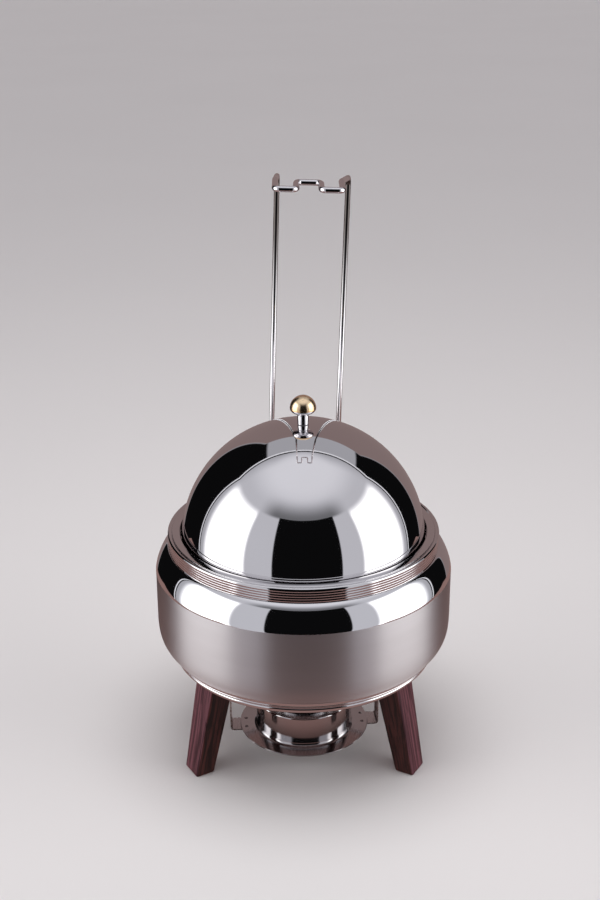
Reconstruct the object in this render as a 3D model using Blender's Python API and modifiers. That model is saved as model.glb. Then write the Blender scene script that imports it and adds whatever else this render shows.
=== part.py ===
"""Round chafer with a lift-off domed lid, a wire lid hanger and three wooden legs.

Metres, +Z up. The dish stands on z = 0 and its front faces -Y.
The dish is turned about one upright axis. Heights are above the table.
"""
import math

import bmesh
import bpy
from mathutils import Vector

MM = 0.001

# Driving dimensions
BODY_RADIUS = 170 * MM        # outside of the drum wall
SHEET = 1.2 * MM              # steel sheet of the drum and its rings
PAN_SHEET = 1.0 * MM          # steel sheet of the lid and the pans
GAP = 0.3 * MM                # space left between two pieces that touch
TURN_STEPS = 36               # facets round a large turned piece
SMALL_STEPS = 16              # facets round a screw, sleeve or rivet

# Drum
SHOULDER_TOP = 263.0 * MM     # where the shoulder meets the collar
SHOULDER_FOOT = 234.1 * MM    # where the shoulder meets the upright wall
WALL_FOOT = 185.4 * MM        # where the wall starts to curve inwards
CURVE_FOOT = 144.7 * MM       # lowest point of the lower curve
CURVE_INSET = 9.7 * MM        # how far the lower curve comes in
DRUM_BOTTOM = 142.2 * MM

# Collar and its pan ledge
COLLAR_RADIUS = BODY_RADIUS - 15 * MM
COLLAR_TOP = 280.0 * MM
COLLAR_BORE = 141.0 * MM
LEDGE_TOP = 262.6 * MM
LEDGE_BORE = 132.5 * MM

# Pans
WATER_PAN_RADIUS = 131.9 * MM
WATER_PAN_RIM = 140.2 * MM
WATER_PAN_BOTTOM = 182.0 * MM
FOOD_PAN_RADIUS = 129.5 * MM
FOOD_PAN_RIM = 139.9 * MM
FOOD_PAN_BOTTOM = 199.0 * MM

# Lid and knob
LID_RADIUS = 139.7 * MM
LID_FOOT = 265.5 * MM         # level of the lid's rim and of its sphere's centre
KNOB_RADIUS = 14.7 * MM
KNOB_CENTRE = 424.0 * MM
KNOB_UNDERSIDE = 7.6 * MM     # height of the flattened lower half
KNOB_CUP_TOP = KNOB_CENTRE - 0.6 * MM
STEM_RADIUS = 6.35 * MM
SCREW_RADIUS = 2.2 * MM
SCREW_HOLE = 2.6 * MM

# Base
RING_BOTTOM = 124.0 * MM
RING_BORE = 145.0 * MM
PLATE_TOP = 130.0 * MM
PLATE_SHEET = 1.5 * MM
PLATE_RADIUS = 143.5 * MM
FLAME_OPENING = 70.0 * MM
PLATE_BOTTOM = PLATE_TOP - PLATE_SHEET

# Legs
LEG_AZIMUTHS = {"leg_front_left": 210, "leg_front_right": 330, "leg_rear": 90}
LEG_FOOT_RADIUS = 153.6 * MM  # outer face at the table
LEG_FOOT_WIDTH = 29.8 * MM
LEG_FOOT_DEPTH = 23.2 * MM
LEG_TOP_RADIUS = 129.8 * MM   # outer face under the base plate
LEG_TOP_WIDTH = 39.4 * MM
LEG_TOP_DEPTH = 30.0 * MM
LEG_HEIGHT = PLATE_BOTTOM - GAP

# Fuel holder, its strap and the fuel can
HOLDER_TURN = math.radians(4)
FLANGE_RADIUS = 77 * MM
FLANGE_TOP = 20.8 * MM
HOLDER_RADIUS = 57.2 * MM
HOLDER_TOP = 58.0 * MM
HOLDER_MOUTH = 47.0 * MM
STRAP_REACH = 88.5 * MM
STRAP_WIDTH = 25 * MM
STRAP_FOOT = 15 * MM
RIVET_REACH = 70 * MM
RIVET_SPREAD = 9 * MM
CAN_RADIUS = 43 * MM
CAN_HEIGHT = 58 * MM

# Hanger
WIRE_RADIUS = 3.25 * MM
ROD_SPACING = 41.5 * MM       # half the distance between the uprights
ROD_SETBACK = 172.0 * MM      # behind the drum's axis
HANGER_LEAN = math.radians(1.8)
SLEEVE_RADIUS = 6.6 * MM
SLEEVE_BORE = 4.5 * MM
SLEEVE_BOTTOM = 190.0 * MM
SLEEVE_TOP = 234.0 * MM
FORK_HEIGHT = 671.5 * MM
FORK_FRONT = -28.0 * MM
FORK_HALF_WIDTH = 35.0 * MM
NOTCH_HALF_WIDTH = 13.0 * MM
NOTCH_BACK = 10.2 * MM
FORK_OFFSET = -7.8 * MM       # the arms are bent a little to one side

# The row's origin is midway between the drum's front and the sleeves' backs.
AXIS_Y = (BODY_RADIUS - ROD_SETBACK - SLEEVE_RADIUS) / 2


def clear_scene():
    for old in list(bpy.data.objects):
        bpy.data.objects.remove(old, do_unlink=True)


def new_collection(name):
    collection = bpy.data.collections.new(name)
    bpy.context.scene.collection.children.link(collection)
    return collection


def new_material(name, colour, roughness, metallic):
    material = bpy.data.materials.new(name)
    material.use_nodes = True
    shader = material.node_tree.nodes["Principled BSDF"]
    shader.inputs["Base Color"].default_value = (*colour, 1)
    shader.inputs["Roughness"].default_value = roughness
    shader.inputs["Metallic"].default_value = metallic
    return material


def mirror_steel(name):
    return new_material(name, (0.80, 0.79, 0.80), 0.06, 1.0)


def satin_steel(name):
    return new_material(name, (0.62, 0.60, 0.61), 0.32, 1.0)


def brass(name):
    return new_material(name, (0.83, 0.62, 0.27), 0.15, 1.0)


def wood(name):
    return new_material(name, (0.10, 0.045, 0.04), 0.4, 0.0)


def new_empty(name, parent, location=(0, 0, 0)):
    empty = bpy.data.objects.new(name, None)
    empty.empty_display_size = 30 * MM
    empty.parent = parent
    empty.location = location
    collections["parts"].objects.link(empty)
    return empty


def finish_part(part, name, material, parent):
    """Name a part, give it its material and put it under its parent."""
    part.name = name
    part.data.name = name
    part.data.materials.clear()
    part.data.materials.append(material(name + "_finish"))
    part.parent = parent
    for old in list(part.users_collection):
        old.objects.unlink(part)
    collections["parts"].objects.link(part)
    return part


def shade_round(part):
    """Smooth a round piece and keep its edges sharp."""
    part.data.shade_smooth()
    part.data.set_sharp_from_angle(angle=math.radians(35))


def arc(radius, height, across, up, start, end, steps):
    """Points on an elliptical arc; angles in degrees from the outward direction."""
    points = []
    for step in range(steps + 1):
        angle = math.radians(start + (end - start) * step / steps)
        points.append((radius + across * math.cos(angle), height + up * math.sin(angle)))
    return points


def turned(name, profile, material, parent, steps=TURN_STEPS):
    """Turn a profile of (radius, height) points about the upright axis.

    A profile that starts and ends on the axis is left open there.
    """
    mesh = bpy.data.meshes.new(name)
    edges = [(i, i + 1) for i in range(len(profile) - 1)]
    meets_axis = profile[0][0] == 0 and profile[-1][0] == 0
    if not meets_axis:
        edges.append((len(profile) - 1, 0))
    mesh.from_pydata([(radius, 0, height) for radius, height in profile], edges, [])
    part = bpy.data.objects.new(name, mesh)
    finish_part(part, name, material, parent)
    turn = part.modifiers.new("Turn", "SCREW")
    turn.axis = "Z"
    turn.angle = 2 * math.pi
    turn.steps = steps
    turn.render_steps = steps
    turn.use_merge_vertices = True
    turn.merge_threshold = 0.00001
    return part


def round_cutter(name, places, radius, bottom, top, parent):
    """Upright drills, one at each (x, y) place, as one cutter."""
    shape = bmesh.new()
    for x, y in places:
        drill = bmesh.ops.create_cone(shape, cap_ends=True, segments=12,
                                      radius1=radius, radius2=radius, depth=top - bottom)
        bmesh.ops.translate(shape, verts=drill["verts"], vec=(x, y, (top + bottom) / 2))
    mesh = bpy.data.meshes.new(name)
    shape.to_mesh(mesh)
    shape.free()
    cutter = bpy.data.objects.new(name, mesh)
    cutter.parent = parent
    cutter.hide_render = True
    cutter.display_type = "WIRE"
    collections["cutters"].objects.link(cutter)
    return cutter


def cut(part, cutter):
    hole = part.modifiers.new("Cut " + cutter.name, "BOOLEAN")
    hole.operation = "DIFFERENCE"
    hole.solver = "EXACT"
    hole.object = cutter


def rounded_path(corners, bends, steps=4):
    """A path through the corners, with each inner corner bent to its radius."""
    points = [Vector(corners[0])]
    for before, corner, after, bend in zip(corners, corners[1:], corners[2:], bends):
        back = (Vector(before) - Vector(corner)).normalized()
        ahead = (Vector(after) - Vector(corner)).normalized()
        half = back.angle(ahead) / 2
        middle = Vector(corner) + (back + ahead).normalized() * (bend / math.sin(half))
        start = Vector(corner) + back * (bend / math.tan(half))
        end = Vector(corner) + ahead * (bend / math.tan(half))
        for step in range(steps + 1):
            spoke = (start - middle).normalized().slerp((end - middle).normalized(), step / steps)
            points.append(middle + spoke * bend)
    points.append(Vector(corners[-1]))
    return points


def build_shell(parent):
    """Drum wall with its shoulder and lower curve, open at both ends."""
    rise = SHOULDER_TOP - SHOULDER_FOOT
    outer = []
    for step in range(6):
        angle = math.pi / 2 * step / 5
        radius = COLLAR_RADIUS + (BODY_RADIUS - COLLAR_RADIUS) * math.sin(angle) ** 1.45
        outer.append((radius, SHOULDER_FOOT + rise * math.cos(angle) ** 1.45))
    for step in range(6):
        share = (step / 5) ** 0.6
        radius = BODY_RADIUS - CURVE_INSET * share ** 4.25
        outer.append((radius, WALL_FOOT + (CURVE_FOOT - WALL_FOOT) * share))
    flange = [(BODY_RADIUS - 14 * MM, DRUM_BOTTOM),
              (RING_BORE + 1 * MM, DRUM_BOTTOM),
              (RING_BORE + 1 * MM, DRUM_BOTTOM + SHEET)]
    inner = [(BODY_RADIUS - CURVE_INSET - 1.8 * MM, CURVE_FOOT + 1 * MM),
             (BODY_RADIUS - 3.6 * MM, CURVE_FOOT + 14 * MM),
             (BODY_RADIUS - SHEET, WALL_FOOT),
             (BODY_RADIUS - SHEET, SHOULDER_FOOT),
             (COLLAR_RADIUS + 6 * MM, SHOULDER_TOP - 12.5 * MM),
             (COLLAR_RADIUS - 1 * MM, SHOULDER_TOP - SHEET),
             (COLLAR_BORE + 1.6 * MM, SHOULDER_TOP - SHEET),
             (COLLAR_BORE + 1.6 * MM, SHOULDER_TOP)]
    return turned("body_shell", outer + flange + inner, satin_steel, parent)


def build_collar(parent):
    """Bright channel-section ring with three beads and the ledge for the pans."""
    foot = SHOULDER_TOP + GAP
    outer = [(COLLAR_RADIUS - 0.8 * MM, COLLAR_TOP)]
    bead_pitch = (COLLAR_TOP - foot - 2 * MM) / 3
    for bead in range(3):
        top = COLLAR_TOP - 0.8 * MM - bead * bead_pitch
        outer.append((COLLAR_RADIUS, top))
        outer.append((COLLAR_RADIUS, top - bead_pitch + 0.9 * MM))
        outer.append((COLLAR_RADIUS - 0.5 * MM, top - bead_pitch + 0.4 * MM))
    outer.append((COLLAR_RADIUS, foot))
    channel = [(COLLAR_RADIUS - SHEET, foot),
               (COLLAR_RADIUS - SHEET, COLLAR_TOP - SHEET),
               (COLLAR_BORE + SHEET, COLLAR_TOP - SHEET),
               (COLLAR_BORE + SHEET, LEDGE_TOP - SHEET),
               (LEDGE_BORE, LEDGE_TOP - SHEET),
               (LEDGE_BORE, LEDGE_TOP),
               (COLLAR_BORE, LEDGE_TOP),
               (COLLAR_BORE, COLLAR_TOP - 0.8 * MM),
               (COLLAR_BORE + 0.8 * MM, COLLAR_TOP)]
    return turned("collar_ring", outer + channel, mirror_steel, parent)


def build_base_ring(parent):
    """Bright stepped ring that closes the drum's foot."""
    top = DRUM_BOTTOM - GAP
    outer_foot = RING_BORE + 2 * MM
    groove = RING_BOTTOM + 9.2 * MM
    profile = [(outer_foot + 9.0 * MM, top),
               (outer_foot + 8.4 * MM, top - 3.4 * MM),
               (outer_foot + 6.4 * MM, groove + 1.4 * MM),
               (outer_foot + 4.2 * MM, groove + 0.4 * MM),
               (outer_foot + 4.7 * MM, groove - 0.8 * MM),
               (outer_foot + 4.2 * MM, RING_BOTTOM + 5.0 * MM),
               (outer_foot + 2.6 * MM, RING_BOTTOM + 2.2 * MM),
               (outer_foot, RING_BOTTOM),
               (RING_BORE, RING_BOTTOM),
               (RING_BORE, top)]
    return turned("base_ring", profile, mirror_steel, parent)


def build_base_plate(parent):
    """Flat plate across the drum's foot, with a lipped opening for the flame."""
    lip = 6 * MM
    profile = [(FLAME_OPENING, PLATE_TOP + lip),
               (FLAME_OPENING, PLATE_TOP),
               (PLATE_RADIUS, PLATE_TOP),
               (PLATE_RADIUS, PLATE_BOTTOM),
               (FLAME_OPENING - PLATE_SHEET, PLATE_BOTTOM),
               (FLAME_OPENING - PLATE_SHEET, PLATE_TOP + lip)]
    return turned("base_plate", profile, satin_steel, parent)


def pan_profile(radius, rim, rim_top, bottom, corner):
    """A round pan: floor, rounded corner, wall and a flat rim."""
    inside = radius - PAN_SHEET
    floor = bottom + PAN_SHEET
    profile = [(0, floor)]
    profile += arc(inside - corner, floor + corner, corner, corner, -90, 0, 3)
    profile += [(inside, rim_top),
                (rim, rim_top),
                (rim, rim_top - PAN_SHEET),
                (radius, rim_top - PAN_SHEET)]
    profile += arc(radius - corner, bottom + corner, corner, corner, 0, -90, 3)
    profile.append((0, bottom))
    return profile


def build_pans(water_parent, food_parent):
    water_top = LEDGE_TOP + GAP + PAN_SHEET
    food_top = water_top + GAP + PAN_SHEET
    turned("water_pan", pan_profile(WATER_PAN_RADIUS, WATER_PAN_RIM, water_top,
                                    WATER_PAN_BOTTOM, 10 * MM), satin_steel, water_parent)
    turned("food_pan", pan_profile(FOOD_PAN_RADIUS, FOOD_PAN_RIM, food_top,
                                   FOOD_PAN_BOTTOM, 12 * MM), satin_steel, food_parent)


def build_lid(parent):
    """Deep domed lid, very nearly a full half sphere, bored for the knob's screw."""
    inside = LID_RADIUS - PAN_SHEET
    hole_outer = math.degrees(math.acos(SCREW_HOLE / LID_RADIUS))
    hole_inner = math.degrees(math.acos(SCREW_HOLE / inside))
    profile = arc(0, LID_FOOT, LID_RADIUS, LID_RADIUS, hole_outer, 0, 10)
    profile += arc(0, LID_FOOT, inside, inside, 0, hole_inner, 6)
    return turned("lid_dome", profile, mirror_steel, parent)


def build_knob(parent):
    """Brass ball on a plated cup and stem, held by a screw and washer from inside the lid."""
    apex = LID_FOOT + LID_RADIUS
    cup_foot = KNOB_CENTRE - KNOB_UNDERSIDE
    bore_top = KNOB_CENTRE + 5 * MM
    ball = arc(0, KNOB_CENTRE, KNOB_RADIUS, KNOB_RADIUS, 90, 0, 7)
    ball[0] = (0, KNOB_CENTRE + KNOB_RADIUS)
    ball_edge = math.degrees(math.asin((KNOB_CENTRE - KNOB_CUP_TOP) / KNOB_UNDERSIDE))
    brim = KNOB_RADIUS * math.cos(math.radians(ball_edge))
    ball += [(brim, KNOB_CUP_TOP), (SCREW_HOLE, KNOB_CUP_TOP), (SCREW_HOLE, bore_top), (0, bore_top)]
    turned("knob_ball", ball, brass, parent, 20)
    cup_top = KNOB_CUP_TOP - GAP
    cup = [(SCREW_HOLE, cup_top), (brim - GAP, cup_top)]
    cup += arc(0, KNOB_CENTRE, KNOB_RADIUS, KNOB_UNDERSIDE, -ball_edge - 8, -66, 3)
    cup.append((SCREW_HOLE, cup_foot))
    turned("knob_cup", cup, mirror_steel, parent, 20)
    stem = [(STEM_RADIUS, cup_foot - GAP), (STEM_RADIUS, apex + GAP),
            (SCREW_HOLE, apex + GAP), (SCREW_HOLE, cup_foot - GAP)]
    turned("knob_stem", stem, mirror_steel, parent, SMALL_STEPS)
    washer_radius = 7 * MM
    dome_sag = 0.9 * MM           # the dome's inside falls this far over the washer
    washer_top = apex - PAN_SHEET - dome_sag - GAP
    washer_foot = washer_top - PAN_SHEET
    washer = [(washer_radius, washer_top), (washer_radius, washer_foot),
              (SCREW_HOLE, washer_foot), (SCREW_HOLE, washer_top)]
    turned("knob_washer", washer, satin_steel, parent, SMALL_STEPS)
    head_top = washer_foot - GAP
    screw = [(0, bore_top - 1 * MM), (SCREW_RADIUS, bore_top - 1 * MM),
             (SCREW_RADIUS, head_top), (4.5 * MM, head_top),
             (4.0 * MM, head_top - 2.6 * MM), (0, head_top - 3 * MM)]
    turned("knob_screw", screw, satin_steel, parent, SMALL_STEPS)


def leg_place(azimuth, radius):
    angle = math.radians(azimuth)
    return Vector((radius * math.cos(angle), radius * math.sin(angle), 0))


def build_legs(parent):
    """Three splayed, tapered wooden legs, each with a screw down through the base plate."""
    top_middle = LEG_TOP_RADIUS - LEG_TOP_DEPTH / 2
    head_foot = PLATE_TOP + GAP
    screw_depth = 22 * MM
    places = []
    for name, azimuth in LEG_AZIMUTHS.items():
        bpy.ops.mesh.primitive_cube_add(size=1)
        leg = finish_part(bpy.context.object, name, wood, parent)
        for vertex in leg.data.vertices:
            at_top = vertex.co.z > 0
            radius = LEG_TOP_RADIUS if at_top else LEG_FOOT_RADIUS
            width = LEG_TOP_WIDTH if at_top else LEG_FOOT_WIDTH
            depth = LEG_TOP_DEPTH if at_top else LEG_FOOT_DEPTH
            height = LEG_HEIGHT if at_top else 0
            vertex.co = (radius + (vertex.co.x - 0.5) * depth, vertex.co.y * width, height)
        leg.rotation_euler.z = math.radians(azimuth)
        soften = leg.modifiers.new("Soften", "BEVEL")
        soften.width = 2 * MM
        soften.segments = 2
        soften.limit_method = "ANGLE"
        place = leg_place(azimuth, top_middle)
        places.append((place.x, place.y))
        pilot = round_cutter(name + "_pilot", [(place.x, place.y)], SCREW_HOLE,
                             LEG_HEIGHT - screw_depth - 1 * MM, LEG_HEIGHT + 1 * MM, parent)
        cut(leg, pilot)
        profile = [(0, head_foot + 2.8 * MM), (3.4 * MM, head_foot + 2.2 * MM),
                   (4.5 * MM, head_foot), (SCREW_RADIUS, head_foot),
                   (SCREW_RADIUS, LEG_HEIGHT - screw_depth + 4 * MM),
                   (0, LEG_HEIGHT - screw_depth)]
        screw = turned(name + "_screw", profile, satin_steel, parent, 12)
        screw.location = place
    return places


def build_holder(parent):
    """Flanged fuel holder: floor, upright wall and an inturned mouth."""
    wall_in = HOLDER_RADIUS - SHEET
    flange_foot = FLANGE_TOP - SHEET
    profile = [(0, FLANGE_TOP), (wall_in - 2 * MM, FLANGE_TOP), (wall_in, FLANGE_TOP + 2 * MM),
               (wall_in, HOLDER_TOP - 2.4 * MM), (wall_in - 1.4 * MM, HOLDER_TOP - SHEET),
               (HOLDER_MOUTH, HOLDER_TOP - SHEET), (HOLDER_MOUTH, HOLDER_TOP)]
    profile += arc(HOLDER_RADIUS - 2.4 * MM, HOLDER_TOP - 2.4 * MM,
                   2.4 * MM, 2.4 * MM, 90, 0, 2)
    profile += arc(HOLDER_RADIUS + 4 * MM, FLANGE_TOP + 5 * MM, 4 * MM, 5 * MM, 180, 270, 3)
    profile += [(FLANGE_RADIUS, FLANGE_TOP), (FLANGE_RADIUS, flange_foot), (0, flange_foot)]
    return turned("fuel_holder", profile, mirror_steel, parent)


def build_strap(parent):
    """One flat strap bent under the holder and up to the base plate."""
    thickness = 1.5 * MM
    low = FLANGE_TOP - SHEET - GAP - thickness / 2
    high = PLATE_BOTTOM - GAP - thickness / 2
    toe = STRAP_REACH + STRAP_FOOT
    corners = [(-toe, 0, high), (-STRAP_REACH, 0, high), (-STRAP_REACH, 0, low),
               (STRAP_REACH, 0, low), (STRAP_REACH, 0, high), (toe, 0, high)]
    path = rounded_path(corners, [3 * MM] * 4, steps=3)
    shape = bmesh.new()
    row = [shape.verts.new(point - Vector((0, STRAP_WIDTH / 2, 0))) for point in path]
    edges = [shape.edges.new(pair) for pair in zip(row, row[1:])]
    strip = bmesh.ops.extrude_edge_only(shape, edges=edges)
    far_side = [item for item in strip["geom"] if isinstance(item, bmesh.types.BMVert)]
    bmesh.ops.translate(shape, verts=far_side, vec=(0, STRAP_WIDTH, 0))
    mesh = bpy.data.meshes.new("holder_strap")
    shape.to_mesh(mesh)
    shape.free()
    strap = bpy.data.objects.new("holder_strap", mesh)
    finish_part(strap, "holder_strap", satin_steel, parent)
    sheet = strap.modifiers.new("Sheet", "SOLIDIFY")
    sheet.thickness = thickness
    sheet.offset = 0
    return strap


def build_strap_fixings(strap, holder, parent):
    """Four rivets join the holder to its strap; two bolts and nuts hold the strap up."""
    rivet_places = []
    for x in (-RIVET_REACH, RIVET_REACH):
        for y in (-RIVET_SPREAD, RIVET_SPREAD):
            rivet_places.append((x, y))
    holes = round_cutter("rivet_holes", rivet_places, 1.6 * MM, 10 * MM, 26 * MM, parent)
    cut(strap, holes)
    cut(holder, holes)
    strap_foot = FLANGE_TOP - SHEET - GAP - 1.5 * MM
    profile = [(0, FLANGE_TOP + GAP + 0.9 * MM), (2.2 * MM, FLANGE_TOP + GAP),
               (1.2 * MM, FLANGE_TOP + GAP), (1.2 * MM, strap_foot - GAP),
               (2.2 * MM, strap_foot - GAP), (0, strap_foot - GAP - 0.9 * MM)]
    for number, (x, y) in enumerate(rivet_places, start=1):
        rivet = turned("holder_rivet_%d" % number, profile, satin_steel, parent, 12)
        rivet.location = (x, y, 0)
    foot_under = PLATE_BOTTOM - GAP - 1.5 * MM
    nut_foot = PLATE_TOP + GAP
    bolt_reach = STRAP_REACH + STRAP_FOOT / 2 + 1 * MM
    bolt_places = [(-bolt_reach, 0), (bolt_reach, 0)]
    for side, (x, y) in zip(("left", "right"), bolt_places):
        bolt = turned("strap_bolt_" + side,
                      [(0, nut_foot + 5 * MM), (SCREW_RADIUS, nut_foot + 5 * MM),
                       (SCREW_RADIUS, foot_under - GAP), (4 * MM, foot_under - GAP),
                       (3 * MM, foot_under - 2.5 * MM), (0, foot_under - 2.8 * MM)],
                      satin_steel, parent, 12)
        nut = turned("strap_nut_" + side,
                     [(4 * MM, nut_foot + 3.2 * MM), (4 * MM, nut_foot),
                      (SCREW_HOLE, nut_foot), (SCREW_HOLE, nut_foot + 3.2 * MM)],
                     satin_steel, parent, 6)
        bolt.location = (x, y, 0)
        nut.location = (x, y, 0)
    bolt_holes = round_cutter("bolt_holes", bolt_places, SCREW_HOLE,
                              PLATE_BOTTOM - 10 * MM, PLATE_TOP + 10 * MM, parent)
    cut(strap, bolt_holes)
    return bolt_holes


def build_can(parent):
    """Open-mouthed fuel can, part full of gel."""
    foot = FLANGE_TOP + GAP
    wall_in = CAN_RADIUS - 0.6 * MM
    lid = foot + CAN_HEIGHT - 1.4 * MM
    mouth = 24 * MM
    profile = [(0, foot + PAN_SHEET), (wall_in, foot + PAN_SHEET), (wall_in, lid - 0.6 * MM),
               (mouth, lid - 0.6 * MM), (mouth, lid), (wall_in, lid),
               (wall_in, foot + CAN_HEIGHT), (CAN_RADIUS, foot + CAN_HEIGHT),
               (CAN_RADIUS, foot), (0, foot)]
    turned("fuel_can", profile, satin_steel, parent, 24)
    level = foot + CAN_HEIGHT * 0.7
    gel = [(0, level), (wall_in - GAP, level),
           (wall_in - GAP, foot + PAN_SHEET + GAP), (0, foot + PAN_SHEET + GAP)]
    turned("fuel_gel", gel, gel_pink, parent, 24)


def gel_pink(name):
    return new_material(name, (0.75, 0.25, 0.35), 0.2, 0.0)


def build_sleeves(parent):
    """Two blind sleeves on the back of the drum that take the hanger's uprights."""
    for side, x in (("left", -ROD_SPACING), ("right", ROD_SPACING)):
        profile = [(0, SLEEVE_BOTTOM + 3 * MM), (SLEEVE_BORE, SLEEVE_BOTTOM + 3 * MM),
                   (SLEEVE_BORE, SLEEVE_TOP), (SLEEVE_RADIUS, SLEEVE_TOP),
                   (SLEEVE_RADIUS, SLEEVE_BOTTOM), (0, SLEEVE_BOTTOM)]
        sleeve = turned("hanger_sleeve_" + side, profile, mirror_steel, parent, SMALL_STEPS)
        sleeve.location = (x, ROD_SETBACK, 0)


def build_hanger(parent):
    """One bent wire: two uprights, two arms and a notched fork over the lid.

    Its parent stands between the sleeves at mid height and carries the lean.
    """
    base = (SLEEVE_BOTTOM + SLEEVE_TOP) / 2
    rod_foot = SLEEVE_BOTTOM + 6 * MM - base
    arm_root = FORK_HEIGHT - 24.5 * MM - base
    fork = FORK_HEIGHT - base
    half = [(-ROD_SPACING, 0, rod_foot),
            (-ROD_SPACING, 0, arm_root),
            (FORK_OFFSET - FORK_HALF_WIDTH, 20 * MM - ROD_SETBACK, fork),
            (FORK_OFFSET - FORK_HALF_WIDTH, FORK_FRONT - ROD_SETBACK, fork),
            (FORK_OFFSET - NOTCH_HALF_WIDTH, FORK_FRONT - ROD_SETBACK, fork),
            (FORK_OFFSET - NOTCH_HALF_WIDTH, NOTCH_BACK - ROD_SETBACK, fork)]
    other = []
    for x, y, z in reversed(half[2:]):
        other.append((2 * FORK_OFFSET - x, y, z))
    for x, y, z in reversed(half[:2]):
        other.append((-x, y, z))
    bends = [12 * MM, 30 * MM, 6 * MM, 6 * MM, 6 * MM]
    path = rounded_path(half + other, bends + bends[::-1])
    curve = bpy.data.curves.new("hanger_wire", "CURVE")
    curve.dimensions = "3D"
    curve.bevel_depth = WIRE_RADIUS
    curve.bevel_resolution = 2
    curve.use_fill_caps = True
    spline = curve.splines.new("POLY")
    spline.points.add(len(path) - 1)
    for point, place in zip(spline.points, path):
        point.co = (*place, 1)
    wire = bpy.data.objects.new("hanger_wire", curve)
    finish_part(wire, "hanger_wire", mirror_steel, parent)


def build():
    chafer = new_empty("chafer", None, (0, AXIS_Y, 0))
    water_lift = new_empty("water_pan_lift", chafer)
    food_lift = new_empty("food_pan_lift", water_lift)
    lid_lift = new_empty("lid_lift", food_lift)
    can_lift = new_empty("fuel_can_lift", chafer)
    holder_turn = new_empty("holder_turn", chafer)
    holder_turn.rotation_euler.z = HOLDER_TURN
    hanger_lift = new_empty("hanger_lift", chafer,
                            (0, ROD_SETBACK, (SLEEVE_BOTTOM + SLEEVE_TOP) / 2))
    hanger_lift.rotation_euler.y = HANGER_LEAN

    build_shell(chafer)
    build_collar(chafer)
    build_base_ring(chafer)
    plate = build_base_plate(chafer)
    build_pans(water_lift, food_lift)
    build_lid(lid_lift)
    build_knob(lid_lift)
    screw_places = build_legs(chafer)
    screw_holes = round_cutter("screw_holes", screw_places, SCREW_HOLE,
                               PLATE_BOTTOM - 10 * MM, PLATE_TOP + 10 * MM, chafer)
    holder = build_holder(holder_turn)
    strap = build_strap(holder_turn)
    bolt_holes = build_strap_fixings(strap, holder, holder_turn)
    cut(plate, screw_holes)
    cut(plate, bolt_holes)
    build_can(can_lift)
    build_sleeves(chafer)
    build_hanger(hanger_lift)
    for part in collections["parts"].objects:
        if part.type == "MESH" and not part.name.startswith("leg_"):
            shade_round(part)


clear_scene()
collections = {"parts": new_collection("Chafer"), "cutters": new_collection("Cutters")}
build()
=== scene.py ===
"""Looks of the round chafer: turned steel, brass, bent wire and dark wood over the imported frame."""
import math

import bmesh
import bpy
from mathutils import Matrix, Vector


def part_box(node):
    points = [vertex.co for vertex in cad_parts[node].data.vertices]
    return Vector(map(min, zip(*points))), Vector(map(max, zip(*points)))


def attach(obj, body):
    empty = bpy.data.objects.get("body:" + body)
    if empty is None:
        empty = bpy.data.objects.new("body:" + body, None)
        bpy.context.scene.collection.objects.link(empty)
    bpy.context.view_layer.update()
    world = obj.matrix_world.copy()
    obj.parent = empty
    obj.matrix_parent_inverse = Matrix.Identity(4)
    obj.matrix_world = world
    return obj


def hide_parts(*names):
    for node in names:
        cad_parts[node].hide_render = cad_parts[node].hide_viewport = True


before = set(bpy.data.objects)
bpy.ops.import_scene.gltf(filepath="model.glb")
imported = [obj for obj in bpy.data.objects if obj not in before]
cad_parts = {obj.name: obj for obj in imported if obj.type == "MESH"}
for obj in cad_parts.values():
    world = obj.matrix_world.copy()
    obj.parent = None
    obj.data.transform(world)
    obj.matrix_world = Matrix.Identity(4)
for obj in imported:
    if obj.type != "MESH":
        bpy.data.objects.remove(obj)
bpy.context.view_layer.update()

MM = 0.001

# The drum's upright axis, and the heights and radii that the frame gives
SHELL_LOW, SHELL_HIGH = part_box("body_shell")
AXIS = Vector(((SHELL_LOW.x + SHELL_HIGH.x) / 2, (SHELL_LOW.y + SHELL_HIGH.y) / 2, 0))
SMOOTH_STEPS = 192
ON_AXIS = 1e-7

# A leg's outer face from the axis, its depth and its width, at the table and under the base plate
LEG_AZIMUTHS = {"leg_front_left": 210, "leg_front_right": 330, "leg_rear": 90}
LEG_FOOT_RADIUS = 153.6 * MM
LEG_FOOT_DEPTH = 23.2 * MM
LEG_FOOT_WIDTH = 29.8 * MM
LEG_TOP_RADIUS = 129.8 * MM
LEG_TOP_DEPTH = 30.0 * MM
LEG_TOP_WIDTH = 39.4 * MM
LEG_EDGE = 2.4 * MM

# Heights over which the hanger's uprights darken, a painted dark reflection, and where the uprights are,
# behind the axis
PAINTED_DARK_FROM = 420 * MM
PAINTED_DARK_TO = 600 * MM
UPRIGHTS_FROM = 100 * MM
UPRIGHTS_TO = 140 * MM


def reach(node):
    """Largest radius of a turned node, from its box."""
    low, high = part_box(node)
    return (high.x - low.x) / 2


def foot(node):
    """Lowest height of a node."""
    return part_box(node)[0].z


def top(node):
    """Highest height of a node."""
    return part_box(node)[1].z


# ---------------------------------------------------------------- node helpers

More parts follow.
